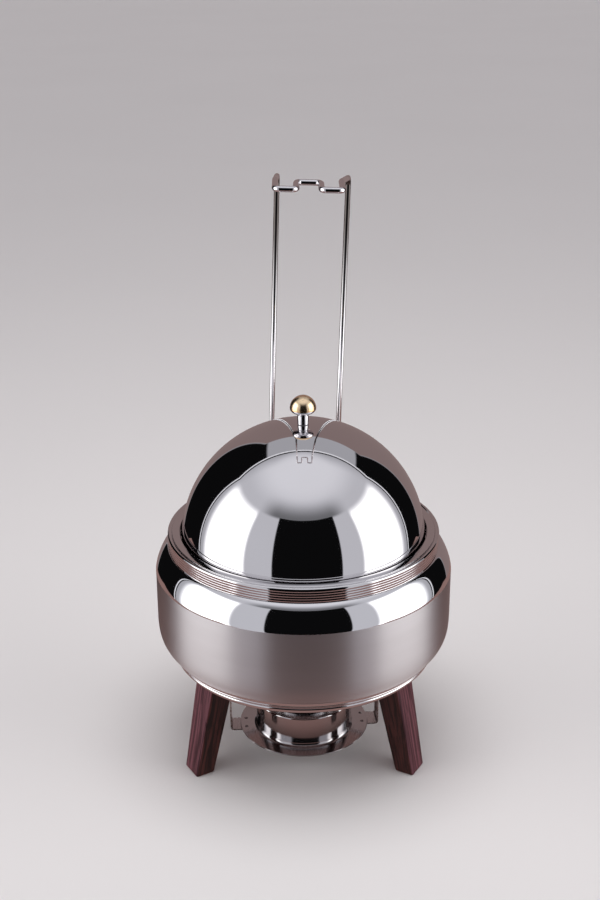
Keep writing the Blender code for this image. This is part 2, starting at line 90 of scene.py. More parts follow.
class Graph:
    """Short names for the few shader nodes that the materials use."""

    # The mix node's sockets for its two numbers and its two colours
    NUMBERS = (2, 3)
    COLOURS = (6, 7)

    def __init__(self, tree):
        self.tree = tree
        tree.nodes.clear()

    def add(self, kind, **settings):
        node = self.tree.nodes.new(kind)
        for name, value in settings.items():
            setattr(node, name, value)
        return node

    def join(self, source, target):
        self.tree.links.new(source, target)

    def feed(self, socket, value):
        if isinstance(value, bpy.types.NodeSocket):
            self.join(value, socket)
        else:
            socket.default_value = value

    def math(self, operation, first, second=0.0):
        node = self.add("ShaderNodeMath", operation=operation)
        for socket, value in zip(node.inputs, (first, second)):
            self.feed(socket, value)
        return node.outputs[0]

    def step(self, value, start, end):
        """0 below start, 1 above end, smooth between; start may be above end."""
        node = self.add("ShaderNodeMapRange", interpolation_type="SMOOTHSTEP")
        low, high = min(start, end), max(start, end)
        self.feed(node.inputs["Value"], value)
        node.inputs["From Min"].default_value = low
        node.inputs["From Max"].default_value = high
        node.inputs["To Min"].default_value = 0.0 if start < end else 1.0
        node.inputs["To Max"].default_value = 1.0 if start < end else 0.0
        return node.outputs["Result"]

    def less(self, value, share, of, soft):
        """1 where value is less than share times another value, soft at the edge."""
        return self.step(self.math("SUBTRACT", self.math("MULTIPLY", of, share), value), -soft, soft)

    def both(self, *masks):
        """1 where all the masks are 1."""
        result = masks[0]
        for mask in masks[1:]:
            result = self.math("MULTIPLY", result, mask)
        return result

    def mix(self, factor, first, second):
        """Blend two numbers."""
        node = self.add("ShaderNodeMix", data_type="FLOAT")
        self.feed(node.inputs[0], factor)
        for number, value in zip(self.NUMBERS, (first, second)):
            self.feed(node.inputs[number], value)
        return node.outputs[0]

    def mix_colour(self, factor, first, second):
        """Blend two colours, each a tuple or a socket."""
        node = self.add("ShaderNodeMix", data_type="RGBA")
        self.feed(node.inputs[0], factor)
        for number, colour in zip(self.COLOURS, (first, second)):
            value = colour if isinstance(colour, bpy.types.NodeSocket) else (*colour, 1)
            self.feed(node.inputs[number], value)
        return node.outputs[2]

    def noise(self, vector, scale, detail, roughness=0.5):
        node = self.add("ShaderNodeTexNoise")
        self.feed(node.inputs["Vector"], vector)
        node.inputs["Scale"].default_value = scale
        node.inputs["Detail"].default_value = detail
        node.inputs["Roughness"].default_value = roughness
        return node.outputs["Fac"]

    def stretched(self, vector, scale):
        node = self.add("ShaderNodeMapping", vector_type="POINT")
        self.feed(node.inputs["Vector"], vector)
        node.inputs["Scale"].default_value = scale
        return node.outputs["Vector"]

    def spun(self, vector, azimuth):
        """A vector turned back by an azimuth, so that X points outward there."""
        node = self.add("ShaderNodeVectorRotate", rotation_type="Z_AXIS")
        self.feed(node.inputs["Vector"], vector)
        node.inputs["Angle"].default_value = -math.radians(azimuth)
        return node.outputs[0]

    def parts(self, vector):
        """The X, Y and Z sockets of a vector."""
        node = self.add("ShaderNodeSeparateXYZ")
        self.join(vector, node.inputs[0])
        return node.outputs[0], node.outputs[1], node.outputs[2]

    def joined(self, *components):
        """A vector from up to three numbers."""
        node = self.add("ShaderNodeCombineXYZ")
        for socket, value in zip(node.inputs, components):
            self.feed(socket, value)
        return node.outputs[0]

    def bump(self, height, strength, distance):
        node = self.add("ShaderNodeBump")
        node.inputs["Strength"].default_value = strength
        node.inputs["Distance"].default_value = distance
        self.feed(node.inputs["Height"], height)
        return node.outputs["Normal"]


def new_material(name):
    """A material with a Principled BSDF, its graph and the object's own coordinates."""
    material = bpy.data.materials.new(name)
    material.use_nodes = True
    graph = Graph(material.node_tree)
    shader = graph.add("ShaderNodeBsdfPrincipled")
    output = graph.add("ShaderNodeOutputMaterial")
    graph.join(shader.outputs[0], output.inputs[0])
    place = graph.add("ShaderNodeTexCoord").outputs["Object"]
    return material, graph, shader, place


def around_axis(graph, place):
    """Angle round the drum's axis, distance from it, and height, as three sockets."""
    along_x, place_y, height = graph.parts(place)
    along_y = graph.math("SUBTRACT", place_y, AXIS.y)
    angle = graph.math("ARCTAN2", along_x, along_y)
    squares = graph.math("ADD", graph.math("POWER", along_x, 2.0), graph.math("POWER", along_y, 2.0))
    return angle, graph.math("SQRT", squares), height


def ring_vector(graph, place, across, along):
    """Coordinates that run slowly round the axis and fast across it, for turned or brushed marks."""
    angle, distance, height = around_axis(graph, place)
    return graph.joined(graph.math("MULTIPLY", graph.math("SINE", angle), along),
                        graph.math("MULTIPLY", graph.math("COSINE", angle), along),
                        graph.math("MULTIPLY", graph.math("ADD", height, distance), across))


# ------------------------------------------------------------------- materials

MIRROR_ROUGHNESS = 0.035

# Each finish as its main colour and the colour it clouds into
STEEL = (0.80, 0.795, 0.815)
STEEL_WARM = (0.74, 0.72, 0.73)
# The fuel holder's steel is darkened: painted shade from the drum above it
HOLDER_SHADED_STEEL = (0.60, 0.585, 0.60)
HOLDER_SHADED_STEEL_WARM = (0.52, 0.50, 0.51)
SATIN_STEEL = (0.67, 0.655, 0.675)
SATIN_STEEL_WARM = (0.60, 0.585, 0.60)
PRESSED_STEEL = (0.66, 0.64, 0.65)
PRESSED_STEEL_WARM = (0.56, 0.54, 0.55)
PLATING = (0.82, 0.81, 0.83)
PLATING_WORN = (0.74, 0.72, 0.74)
# Painted dark reflection for the tops of the hanger's uprights
PLATING_PAINTED_DARK = (0.11, 0.095, 0.09)
BRASS = (1.0, 0.80, 0.54)
BRASS_DEEP = (0.98, 0.72, 0.44)
# Darker, browner colour for the ball's underside
BRASS_UNDERSIDE_DARK = (0.86, 0.56, 0.30)
WOOD_OUTER_DARK = (0.042, 0.012, 0.018)
WOOD_OUTER_LIGHT = (0.17, 0.058, 0.074)
# The leg's sides are a much darker copy of the wood: painted shade
WOOD_SIDE_SHADED_DARK = (0.014, 0.0045, 0.004)
WOOD_SIDE_SHADED_LIGHT = (0.060, 0.014, 0.012)
WOOD_PORE = (0.02, 0.008, 0.010)
GEL = (0.75, 0.22, 0.34)
GEL_DEEP = (0.62, 0.15, 0.27)
FLOOR_PALE = (0.80, 0.77, 0.76)
FLOOR_DIM = (0.77, 0.74, 0.73)
TABLE_TONE = (0.28, 0.17, 0.155)
TENT_TINT = (0.95, 0.95, 1.02)
LAMP_WHITE = (1.0, 1.0, 1.0)
BACKDROP_TONE = (0.25, 0.185, 0.18)
WALL_TONE = (0.55, 0.535, 0.535, 1)


def polished_steel(name, roughness, tone=STEEL, shade=STEEL_WARM):
    """Polished sheet: faint polishing haze, hairline marks round the axis."""
    material, graph, shader, place = new_material(name)
    haze = graph.noise(place, 9.0, 2.0)
    hairlines = graph.noise(ring_vector(graph, place, 900.0, 1.5), 1.0, 4.0, 0.7)
    graph.feed(shader.inputs["Base Color"], graph.mix_colour(haze, tone, shade))
    shader.inputs["Metallic"].default_value = 1.0
    rough = graph.mix(hairlines, roughness * 0.6, roughness * 1.7)
    graph.feed(shader.inputs["Roughness"], rough)
    graph.feed(shader.inputs["Normal"], graph.bump(hairlines, 0.02, 0.2 * MM))
    return material


def drum_steel(name, edge):
    """Mirror-polished shoulder above the edge height, fine satin brushing round the wall below it."""
    material, graph, shader, place = new_material(name)
    height = around_axis(graph, place)[2]
    blend = 0.3 * MM
    satin = graph.step(height, edge + blend, edge - blend)
    brushing = graph.noise(ring_vector(graph, place, 1400.0, 2.0), 1.0, 5.0, 0.8)
    patches = graph.noise(ring_vector(graph, place, 60.0, 1.2), 1.0, 3.0)
    tone = graph.mix_colour(patches, SATIN_STEEL, SATIN_STEEL_WARM)
    graph.feed(shader.inputs["Base Color"], graph.mix_colour(satin, STEEL, tone))
    shader.inputs["Metallic"].default_value = 1.0
    satin_rough = graph.mix(brushing, 0.40, 0.48)
    graph.feed(shader.inputs["Roughness"], graph.mix(satin, MIRROR_ROUGHNESS, satin_rough))
    graph.feed(shader.inputs["Anisotropic"], graph.mix(satin, 0.0, 0.92))
    quarter_turn = 0.25  # spreads the highlights up and down the wall
    shader.inputs["Anisotropic Rotation"].default_value = quarter_turn
    tangent = graph.add("ShaderNodeTangent", direction_type="RADIAL", axis="Z")
    graph.join(tangent.outputs[0], shader.inputs["Tangent"])
    bumped = graph.bump(graph.both(brushing, satin), 0.08, 0.2 * MM)
    graph.feed(shader.inputs["Normal"], bumped)
    return material


def plain_steel(name):
    """Unpolished pressed sheet and small fasteners."""
    material, graph, shader, place = new_material(name)
    cloud = graph.noise(place, 55.0, 4.0)
    scuffs = graph.noise(graph.stretched(place, (300.0, 30.0, 300.0)), 1.0, 3.0)
    graph.feed(shader.inputs["Base Color"], graph.mix_colour(cloud, PRESSED_STEEL, PRESSED_STEEL_WARM))
    shader.inputs["Metallic"].default_value = 1.0
    graph.feed(shader.inputs["Roughness"], graph.mix(scuffs, 0.18, 0.36))
    graph.feed(shader.inputs["Normal"], graph.bump(scuffs, 0.05, 0.2 * MM))
    return material


def plated_wire(name, painted_dark_uprights=False):
    """Bright plating on drawn wire and bar; the hanger's uprights can darken towards their top, a painted
    dark reflection.
    """
    material, graph, shader, place = new_material(name)
    lines = graph.noise(graph.stretched(place, (700.0, 700.0, 12.0)), 1.0, 3.0)
    colour = graph.mix_colour(lines, PLATING, PLATING_WORN)
    if painted_dark_uprights:
        behind, height = graph.parts(place)[1:]
        # Painted dark reflection on the upper part of the uprights behind the axis
        painted_dark = graph.both(graph.step(height, PAINTED_DARK_FROM, PAINTED_DARK_TO),
                          graph.step(behind, UPRIGHTS_FROM, UPRIGHTS_TO))
        colour = graph.mix_colour(painted_dark, colour, PLATING_PAINTED_DARK)
    graph.feed(shader.inputs["Base Color"], colour)
    shader.inputs["Metallic"].default_value = 1.0
    graph.feed(shader.inputs["Roughness"], graph.mix(lines, 0.05, 0.11))
    return material


def polished_brass(name):
    """Lacquered brass ball, darker and browner towards its underside."""
    material, graph, shader, place = new_material(name)
    cloud = graph.noise(place, 120.0, 3.0)
    low = foot("knob_ball")
    underside_depth = 7 * MM
    height = around_axis(graph, place)[2]
    under = graph.step(height, low + underside_depth, low)
    gold = graph.mix_colour(cloud, BRASS, BRASS_DEEP)
    graph.feed(shader.inputs["Base Color"], graph.mix_colour(under, gold, BRASS_UNDERSIDE_DARK))
    shader.inputs["Metallic"].default_value = 1.0
    graph.feed(shader.inputs["Roughness"], graph.mix(cloud, 0.17, 0.25))
    shader.inputs["Coat Weight"].default_value = 0.3
    shader.inputs["Coat Roughness"].default_value = 0.05
    return material


def leg_space(graph, place, azimuth):
    """Coordinates of a leg with its outward side along X and its lean taken out."""
    outward, sideways, height = graph.parts(graph.spun(place, azimuth))
    lean = (LEG_FOOT_RADIUS - LEG_TOP_RADIUS) / top("leg_rear")
    return graph.joined(graph.math("ADD", outward, graph.math("MULTIPLY", height, lean)), sideways, height)


def dark_wood(name, azimuth):
    """Rosewood: purple-brown streaks on the outer face, red-brown on the sides and much darker there,
    painted shade; grain along the leg.
    """
    material, graph, shader, place = new_material(name)
    upright = leg_space(graph, place, azimuth)
    wander = graph.noise(graph.stretched(upright, (40.0, 40.0, 9.0)), 1.0, 2.0)
    shift = graph.joined(graph.math("MULTIPLY", wander, 3.0), graph.math("MULTIPLY", wander, 4.0))
    warped = graph.add("ShaderNodeVectorMath", operation="ADD")
    graph.join(graph.stretched(upright, (330.0, 430.0, 9.0)), warped.inputs[0])
    graph.join(shift, warped.inputs[1])
    streaks = graph.noise(warped.outputs[0], 1.0, 4.0, 0.65)
    bands = graph.step(streaks, 0.40, 0.62)
    pores = graph.noise(graph.stretched(upright, (1500.0, 1500.0, 30.0)), 1.0, 2.0)

    normal = graph.add("ShaderNodeNewGeometry").outputs["Normal"]
    outer = graph.step(graph.parts(graph.spun(normal, azimuth))[0], 0.35, 0.8)
    outer_wood = graph.mix_colour(bands, WOOD_OUTER_DARK, WOOD_OUTER_LIGHT)
    # The sides get a much darker copy of the wood: painted shade
    shaded_side_wood = graph.mix_colour(bands, WOOD_SIDE_SHADED_DARK, WOOD_SIDE_SHADED_LIGHT)
    wood = graph.mix_colour(outer, shaded_side_wood, outer_wood)
    pore_mask = graph.step(pores, 0.62, 0.72)
    graph.feed(shader.inputs["Base Color"], graph.mix_colour(pore_mask, wood, WOOD_PORE))
    graph.feed(shader.inputs["Roughness"], graph.mix(streaks, 0.38, 0.52))
    shader.inputs["Specular IOR Level"].default_value = 0.22
    relief = graph.math("ADD", graph.math("MULTIPLY", streaks, 0.7), graph.math("MULTIPLY", pores, 0.3))
    graph.feed(shader.inputs["Normal"], graph.bump(relief, 0.25, 0.4 * MM))
    return material


def fuel_gel(name):
    """Pink alcohol gel, slightly clouded."""
    material, graph, shader, place = new_material(name)
    cloud = graph.noise(place, 70.0, 3.0)
    graph.feed(shader.inputs["Base Color"], graph.mix_colour(cloud, GEL, GEL_DEEP))
    shader.inputs["Roughness"].default_value = 0.12
    shader.inputs["Subsurface Weight"].default_value = 0.25
    shader.inputs["Subsurface Radius"].default_value = (4 * MM, 2 * MM, 2 * MM)
    graph.feed(shader.inputs["Normal"], graph.bump(cloud, 0.3, 1 * MM))
    return material


# -------------------------------------------------------------- shape helpers

def arc(radius, height, across, up, start, end, steps):
    """Points on an elliptical arc; angles in degrees from the outward direction."""
    points = []
    for step in range(steps + 1):
        angle = math.radians(start + (end - start) * step / steps)
        points.append((radius + across * math.cos(angle), height + up * math.sin(angle)))
    return points


def turned(name, profile, material, body, nodes, centre=AXIS, steps=SMOOTH_STEPS):
    """Turn a (radius, height) profile, outer side from top to bottom, about an upright line."""
    shape = bmesh.new()
    rings = []
    for radius, height in profile:
        if radius < ON_AXIS:
            rings.append([shape.verts.new((centre.x, centre.y, height))])
            continue
        ring = []
        for step in range(steps):
            angle = 2 * math.pi * step / steps
            ring.append(shape.verts.new((centre.x + radius * math.cos(angle),
                                         centre.y + radius * math.sin(angle), height)))
        rings.append(ring)
    open_on_axis = len(rings[0]) == 1 and len(rings[-1]) == 1
    pairs = list(zip(rings, rings[1:]))
    if not open_on_axis:
        pairs.append((rings[-1], rings[0]))
    for upper, lower in pairs:
        for step in range(steps):
            follow = (step + 1) % steps
            corners = [upper[step % len(upper)], lower[step % len(lower)],
                       lower[follow % len(lower)], upper[follow % len(upper)]]
            face = list(dict.fromkeys(corners))
            shape.faces.new(face)
    bmesh.ops.recalc_face_normals(shape, faces=shape.faces)
    finish_piece(name, shape, material, body, nodes)


def finish_piece(name, shape, material, body, nodes, smooth_below=32):
    """Make an object of a shape, smooth below an angle, riding on a body in place of its CAD nodes."""
    mesh = bpy.data.meshes.new(name)
    shape.to_mesh(mesh)
    shape.free()
    mesh.shade_smooth()
    mesh.set_sharp_from_angle(angle=math.radians(smooth_below))
    mesh.materials.append(material)
    piece = bpy.data.objects.new(name, mesh)
    bpy.context.scene.collection.objects.link(piece)
    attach(piece, body)
    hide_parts(*nodes)


def rounded_path(corners, bends, steps=10):
    """A path through the corners, with each inner corner bent to its radius."""
    points = [Vector(corners[0])]
    for before, corner, after, bend in zip(corners, corners[1:], corners[2:], bends):
        back = (Vector(before) - Vector(corner)).normalized()
        ahead = (Vector(after) - Vector(corner)).normalized()
        half = back.angle(ahead) / 2
        middle = Vector(corner) + (back + ahead).normalized() * (bend / math.sin(half))
        start = Vector(corner) + back * (bend / math.tan(half))
        end = Vector(corner) + ahead * (bend / math.tan(half))
        for step in range(steps + 1):
            spoke = (start - middle).normalized().slerp((end - middle).normalized(), step / steps)
            points.append(middle + spoke * bend)
    points.append(Vector(corners[-1]))
    return points


def tube(name, path, radius, material, body, nodes, sides=24):
    """A round wire along a path, with flat ends."""
    shape = bmesh.new()
    rings = []
    side = Vector((1, 0, 0))
    for number, point in enumerate(path):
        ahead = (path[min(number + 1, len(path) - 1)] - path[max(number - 1, 0)]).normalized()
        side = (side - ahead * side.dot(ahead)).normalized()
        other = ahead.cross(side)
        ring = []
        for step in range(sides):
            angle = 2 * math.pi * step / sides
            spoke = side * math.cos(angle) + other * math.sin(angle)
            ring.append(shape.verts.new(point + radius * spoke))
        rings.append(ring)
    for first, second in zip(rings, rings[1:]):
        for step in range(sides):
            follow = (step + 1) % sides
            shape.faces.new((first[step], first[follow], second[follow], second[step]))
    shape.faces.new(rings[0][::-1])
    shape.faces.new(rings[-1])
    bmesh.ops.recalc_face_normals(shape, faces=shape.faces)
    finish_piece(name, shape, material, body, nodes, 50)


# ---------------------------------------------------------------------- pieces

def build_lid():
    """Half-sphere lid of 1 mm sheet with a rounded rim."""
    radius = reach("lid_dome")
    level = foot("lid_dome")
    sheet = 1.0 * MM
    inside = radius - sheet
    bore = 2.6 * MM  # for the knob's screw
    profile = arc(0, level, radius, radius, math.degrees(math.acos(bore / radius)), 0, 72)
    profile += arc(radius - sheet / 2, level, sheet / 2, sheet / 4, -20, -160, 5)
    profile += arc(0, level, inside, inside, 0, math.degrees(math.acos(bore / inside)), 48)
    turned("lid_dome_sheet", profile, polished_steel("lid_mirror_steel", 0.03),
           "lid", ["lid_dome"])


def build_knob():
    """Brass ball on a plated cup and stem. The ball flattens a little below its widest line."""
    radius = reach("knob_ball")
    middle = top("knob_ball") - radius
    seam = foot("knob_ball")
    under = middle - foot("knob_cup")
    seat = reach("knob_stem")
    stem_edge = 0.5 * MM
    stem_foot_edge = 0.4 * MM
    seam_angle = math.degrees(math.asin((middle - seam) / under))
    foot_angle = math.degrees(math.acos(seat / radius))
    profile = arc(0, middle, radius, radius, 90, 0, 24)
    profile[0] = (0, top("knob_ball"))
    profile += arc(0, middle, radius, under, -5, -seam_angle, 4)
    profile.append((0, seam))
    turned("knob_ball_brass", profile, polished_brass("knob_brass"),
           "lid", ["knob_ball"], steps=96)
    profile = [(0, top("knob_cup")), (radius * 0.90, top("knob_cup"))]
    profile += arc(0, middle, radius, under, -seam_angle - 2, -foot_angle, 10)
    profile += [(seat * 0.98, foot("knob_cup")), (0, foot("knob_cup"))]
    turned("knob_cup_plated", profile, plated_wire("knob_cup_plating"),
           "lid", ["knob_cup"], steps=96)
    head, base = top("knob_stem"), foot("knob_stem")
    profile = [(0, head), (seat - stem_edge, head)]
    profile += arc(seat - stem_edge, head - stem_edge, stem_edge, stem_edge, 80, 0, 4)
    profile += arc(seat - stem_foot_edge, base + stem_foot_edge, stem_foot_edge, stem_foot_edge, 0, -90, 4)
    profile.append((0, base))
    turned("knob_stem_bar", profile, plated_wire("knob_stem_plating"),
           "lid", ["knob_stem"], steps=64)


def build_drum():
    """Drum sheet: convex shoulder, upright wall, rounded foot and turned-in flanges."""
    radius = reach("body_shell")
    high, low = SHELL_HIGH.z, SHELL_LOW.z
    neck = reach("collar_ring")
    wall_top = high - 28.9 * MM
    wall_foot = low + 43.2 * MM
    inset = 9.7 * MM      # how far the wall curves in at its foot
    foot_edge = 2.5 * MM
    sheet = 1.2 * MM
    mouth = neck - 12.4 * MM
    shoulder_power = 1.45  # 1 would be a quarter ellipse
    foot_power = 4.25
    steps = 24
    curve_foot = low + foot_edge
    edge_middle = radius - inset - foot_edge
    outer = []
    for step in range(steps + 1):
        angle = math.pi / 2 * step / steps
        outer.append((neck + (radius - neck) * math.sin(angle) ** shoulder_power,
                      wall_top + (high - wall_top) * math.cos(angle) ** shoulder_power))
    for step in range(steps + 1):
        share = step / steps
        outer.append((radius - inset * share ** foot_power, wall_foot + (curve_foot - wall_foot) * share))
    outer += arc(edge_middle, curve_foot, foot_edge, foot_edge, -20, -90, 5)
    flange_bore = reach("base_plate") + 2.5 * MM
    flange = [(flange_bore, low), (flange_bore, low + sheet), (edge_middle, low + sheet)]
    inner = [(r - sheet, z) for r, z in reversed(outer[6:48]) if z > low + 4 * MM]
    closing = [(neck - 1 * MM, high - sheet), (mouth, high - sheet), (mouth, high)]
    turned("body_shell_sheet", outer + flange + inner + closing, drum_steel("drum_steel", wall_top),
           "base", ["body_shell"])


def build_collar():
    """Beaded collar: rounded lip, groove on its land, fine beads down its wall, ledge inside."""
    radius = reach("collar_ring")
    high, low = top("collar_ring"), foot("collar_ring")
    bore = reach("lid_dome") + 1.3 * MM
    ledge_bore = 132.5 * MM
    wall_foot = SHELL_HIGH.z + 0.3 * MM
    ledge = low + 1.2 * MM
    lip = 2.2 * MM
    land_under = high - 3.4 * MM
    outer_wall = radius - 1.2 * MM
    inner_wall = bore + 1.2 * MM
    mouth_edge = 1.2 * MM
    profile = arc(radius - 2 * lip - 1.2 * MM, high - 0.9 * MM, 0.7 * MM, 0.8 * MM, 90, -30, 5)
    profile += arc(radius - lip, high - lip, lip, lip, 125, 0, 12)

    # The beads stand a little further out from one to the next, down the wall
    bead_count = 5
    bead = (high - lip - wall_foot - 0.6 * MM) / bead_count
    bead_depth = 0.35 * MM
    groove_depth = 0.45 * MM
    spread = 1.0 * MM
    for number in range(bead_count):
        middle = high - lip - bead * (number + 0.5)
        crown = radius - spread * (bead_count - 1 - number) / bead_count
        profile += arc(crown - bead_depth, middle, bead_depth, bead * 0.62, 45, -45, 6)
        profile.append((crown - groove_depth, middle - bead * 0.5))

    profile += [(radius - 0.3 * MM, wall_foot), (outer_wall, wall_foot),
                (outer_wall, land_under), (inner_wall, land_under),
                (inner_wall, low), (ledge_bore, low), (ledge_bore, ledge), (bore, ledge)]
    profile += arc(bore + mouth_edge, high - mouth_edge, mouth_edge, mouth_edge, 180, 90, 6)
    turned("collar_ring_beaded", profile, polished_steel("collar_mirror_steel", 0.045),
           "base", ["collar_ring"])


def build_base_ring():
    """Stepped ring: a plain convex band, a groove and a rounded lower bead."""
    high, low = top("base_ring"), foot("base_ring")
    radius = reach("base_ring")
    bore = reach("base_plate") + 1.5 * MM
    groove = low + 9.2 * MM
    lower = radius - 9 * MM
    groove_wall = lower + 3.4 * MM
    upper_edge = 1.2 * MM
    band_edge = 0.9 * MM
    lower_bead = 2.7 * MM
    foot_width, foot_height = 3.4 * MM, 3.0 * MM
    profile = arc(radius - upper_edge, high - upper_edge, upper_edge, upper_edge, 90, 10, 5)
    profile += [(radius - 0.4 * MM, high - 3.2 * MM), (radius - 1.1 * MM, high - 4.8 * MM)]
    profile += arc(radius - 2.2 * MM, high - 6.0 * MM, band_edge, band_edge, 60, -60, 6)
    profile += arc(lower + 4.6 * MM, groove + 1.6 * MM, 1.0 * MM, 1.3 * MM, 60, -90, 6)
    profile += [(groove_wall, groove + 0.2 * MM), (groove_wall, groove - 0.6 * MM)]
    profile += arc(lower + 2.0 * MM, groove - lower_bead - 0.7 * MM, lower_bead, lower_bead, 65, -25, 8)
    profile += arc(lower - 1.4 * MM, low + foot_height, foot_width, foot_height, 10, -75, 8)
    profile += [(bore, low), (bore, high)]
    turned("base_ring_stepped", profile, polished_steel("base_ring_mirror_steel", 0.05),
           "base", ["base_ring"])


def build_base_plate():
    """Plate under the drum, with an upturned edge round the opening for the flame."""
    high, low = top("base_plate"), foot("base_plate")
    radius = reach("base_plate")
    opening = 70 * MM
    sheet = 1.5 * MM
    bend = 3 * MM
    outer_bend = bend + sheet
    middle = opening + bend
    profile = [(opening - sheet * 0.5, high)]
    profile += arc(middle, low + outer_bend, bend, bend, 180, 270, 6)
    profile += [(radius, low + sheet), (radius, low)]
    profile += arc(middle, low + outer_bend, outer_bend, outer_bend, 270, 180, 6)
    profile += [(opening - sheet, high)]
    turned("base_plate_sheet", profile, plain_steel("base_plate_steel"),
           "base", ["base_plate"])


def pan_profile(node, wall, corner):
    """Floor, rounded corner, wall and rim with a rolled edge, of 1 mm sheet."""
    sheet = 1.0 * MM
    edge = sheet / 2
    brim_bend = 1.2 * MM
    rim, high, low = reach(node), top(node), foot(node)
    inside = wall - sheet
    profile = [(0, low + sheet)]
    profile += arc(inside - corner, low + sheet + corner, corner, corner, -90, 0, 12)
    profile += arc(inside + brim_bend, high - brim_bend, brim_bend, brim_bend, 180, 90, 5)
    profile += arc(rim - edge, high - edge, edge, edge, 90, -90, 6)
    profile += [(wall, high - sheet)]
    profile += arc(wall - corner, low + corner, corner, corner, 0, -90, 12)
    profile.append((0, low))
    return profile


def build_pans():
    """Food pan with a buffed finish, and the plain water pan that it hangs in."""
    turned("food_pan_sheet", pan_profile("food_pan", 129.5 * MM, 12 * MM),
           polished_steel("food_pan_steel", 0.16), "food_pan", ["food_pan"])
    turned("water_pan_sheet", pan_profile("water_pan", 131.9 * MM, 10 * MM),
           plain_steel("water_pan_steel"), "water_pan", ["water_pan"])


def build_holder():
    """Fuel holder: floor, wall with a rounded mouth and a flat flange with a soft edge."""
    high, low = top("fuel_holder"), foot("fuel_holder")
    sheet = 1.2 * MM
    edge = sheet / 2
    flange = 77 * MM
    floor = low + sheet
    wall = 57.2 * MM
    inside = wall - sheet
    mouth = 47 * MM
    floor_bend = 2 * MM
    inner_bend = 1.4 * MM
    outer_bend = 2.4 * MM
    root_width, root_height = 4 * MM, 5 * MM
    profile = [(0, floor)]
    profile += arc(inside - floor_bend, floor + floor_bend, floor_bend, floor_bend, -90, 0, 5)
    profile += arc(inside - inner_bend, high - sheet - inner_bend, inner_bend, inner_bend, 0, 90, 5)
    profile += arc(mouth + edge, high - edge, edge, edge, 270, 90, 6)
    profile += arc(wall - outer_bend, high - outer_bend, outer_bend, outer_bend, 90, 0, 8)
    profile += arc(wall + root_width, floor + root_height, root_width, root_height, 180, 270, 8)
    profile += arc(flange - edge, low + edge, edge, edge, 90, -90, 6)
    profile.append((0, low))
    # Darker steel stands in for the shade under the drum: painted shade
    steel = polished_steel("fuel_holder_steel", 0.10, HOLDER_SHADED_STEEL, HOLDER_SHADED_STEEL_WARM)
    turned("fuel_holder_sheet", profile, steel, "base", ["fuel_holder"])


def build_can():
    """Tin can with rolled seams, three raised beads round its wall and a round mouth."""
    high, low = top("fuel_can"), foot("fuel_can")
    radius = reach("fuel_can")
    mouth = 24 * MM
    wall = radius - 0.8 * MM
    inside = wall - 0.6 * MM
    floor = low + 1.5 * MM
    lid = high - 2.0 * MM
    lid_top = lid - 0.4 * MM
    curl = 0.7 * MM
    seam = 1.1 * MM
    bead_depth, bead_height = 0.5 * MM, 1.6 * MM
    bead_count = 3
    profile = [(0, floor), (inside, floor), (inside, lid - 0.6 * MM)]
    profile += arc(mouth, lid - 0.2 * MM, curl, curl, 250, 70, 5)
    profile += [(mouth + 3 * MM, lid_top), (wall - 3 * MM, lid_top)]
    profile += arc(radius - seam, high - seam, seam, seam, 170, -60, 10)
    for number in range(bead_count):
        middle = low + (number + 1) * (high - low) / (bead_count + 1)
        profile += arc(wall, middle, bead_depth, bead_height, 85, -85, 6)
    profile += arc(radius - seam, low + seam, seam, seam, 60, -90, 8)
    profile.append((0, low))
    turned("fuel_can_tin", profile, plain_steel("fuel_can_tinplate"), "fuel_can",
           ["fuel_can"], steps=128)


def build_gel():
    """Gel in the can, a little lower in its middle."""
    level, base = top("fuel_gel"), foot("fuel_gel") + 1 * MM
    brim = reach("fuel_gel")
    profile = [(0, level - 0.8 * MM), (brim * 0.5, level - 0.7 * MM), (brim * 0.9, level - 0.3 * MM),
               (brim, level), (brim, base), (0, base)]
    turned("fuel_gel_fill", profile, fuel_gel("fuel_gel_pink"), "fuel_can",
           ["fuel_gel"], steps=96)


def build_legs():
    """Three splayed, tapered legs with softened edges and grain along their length."""
    for node, azimuth in LEG_AZIMUTHS.items():
        shape = bmesh.new()
        bmesh.ops.create_cube(shape, size=1)
        for vertex in shape.verts:
            at_top = vertex.co.z > 0
            radius = LEG_TOP_RADIUS if at_top else LEG_FOOT_RADIUS
            depth = LEG_TOP_DEPTH if at_top else LEG_FOOT_DEPTH
            width = LEG_TOP_WIDTH if at_top else LEG_FOOT_WIDTH
            height = top(node) if at_top else 0
            vertex.co = (radius + (vertex.co.x - 0.5) * depth, vertex.co.y * width, height)
        bmesh.ops.bevel(shape, geom=list(shape.edges), offset=LEG_EDGE, segments=5, profile=0.5,
                        affect="EDGES")
        place = Matrix.Translation(AXIS) @ Matrix.Rotation(math.radians(azimuth), 4, "Z")
        shape.transform(place)
        bmesh.ops.recalc_face_normals(shape, faces=shape.faces)
        finish_piece(node + "_wood", shape, dark_wood(node + "_rosewood", azimuth), "base",
                     [node], 40)


